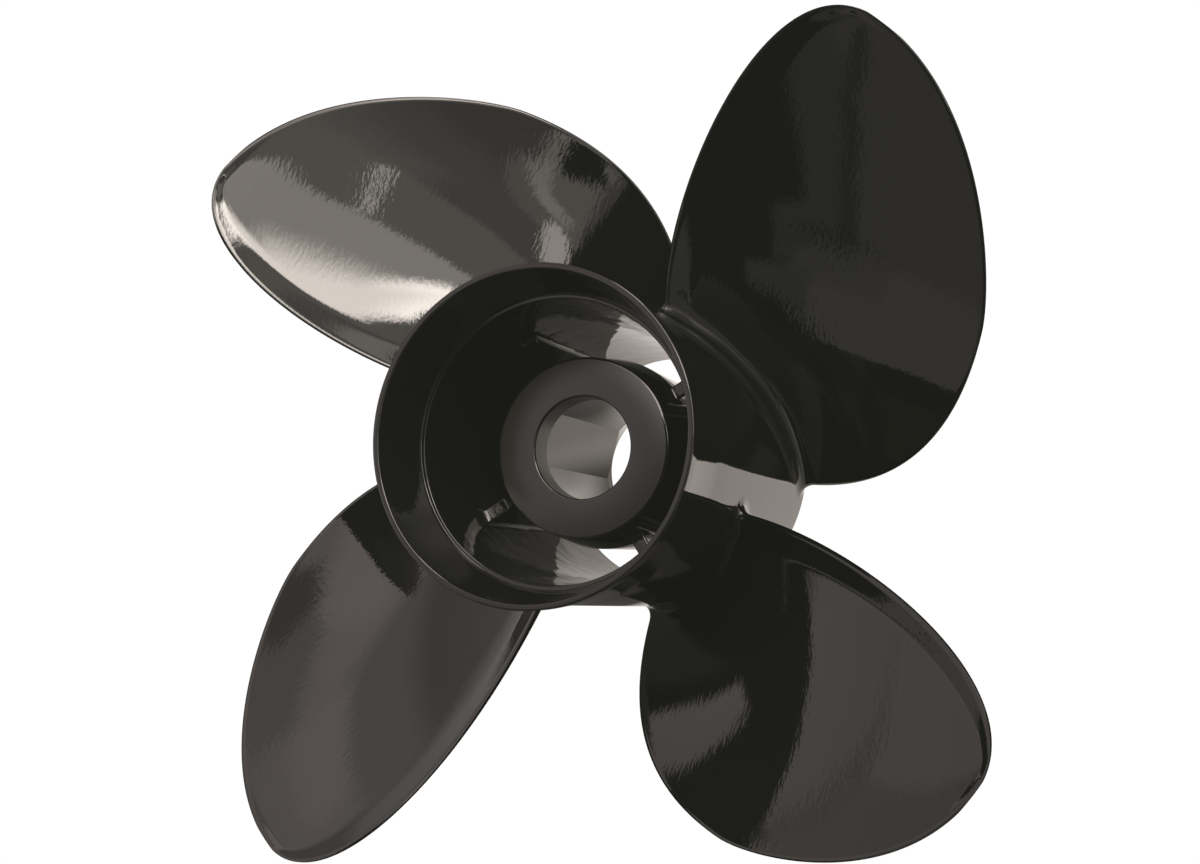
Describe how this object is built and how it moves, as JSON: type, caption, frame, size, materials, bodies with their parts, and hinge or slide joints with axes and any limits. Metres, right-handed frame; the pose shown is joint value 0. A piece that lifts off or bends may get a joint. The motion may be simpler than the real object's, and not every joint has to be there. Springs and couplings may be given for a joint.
{
  "type": "ship propeller",
  "caption": "Right-hand blade propeller with a through-hub exhaust barrel, flared aft ring, ribbed inner hub and square drive socket.",
  "frame": {"origin": "on the shaft axis, in the plane of the barrel's forward end face, on which the propeller rests", "axes": "+Z along the shaft axis towards the stern; +X and +Y square to the flats of the drive socket"},
  "size_m": [0.3468, 0.3468, 0.155],
  "materials": {
    "black_paint": "gloss black baked paint on cast aluminium",
    "hub_paint": "satin dark grey face, bare grey metal in the bore"
  },
  "bodies": {
    "root": {"hub_barrel": "black_paint", "inner_hub": "hub_paint", "rib_1": "black_paint", "rib_2": "black_paint", "rib_3": "black_paint", "rib_4": "black_paint", "blade_1": "black_paint", "blade_2": "black_paint", "blade_3": "black_paint", "blade_4": "black_paint"}
  },
  "joints": []
}
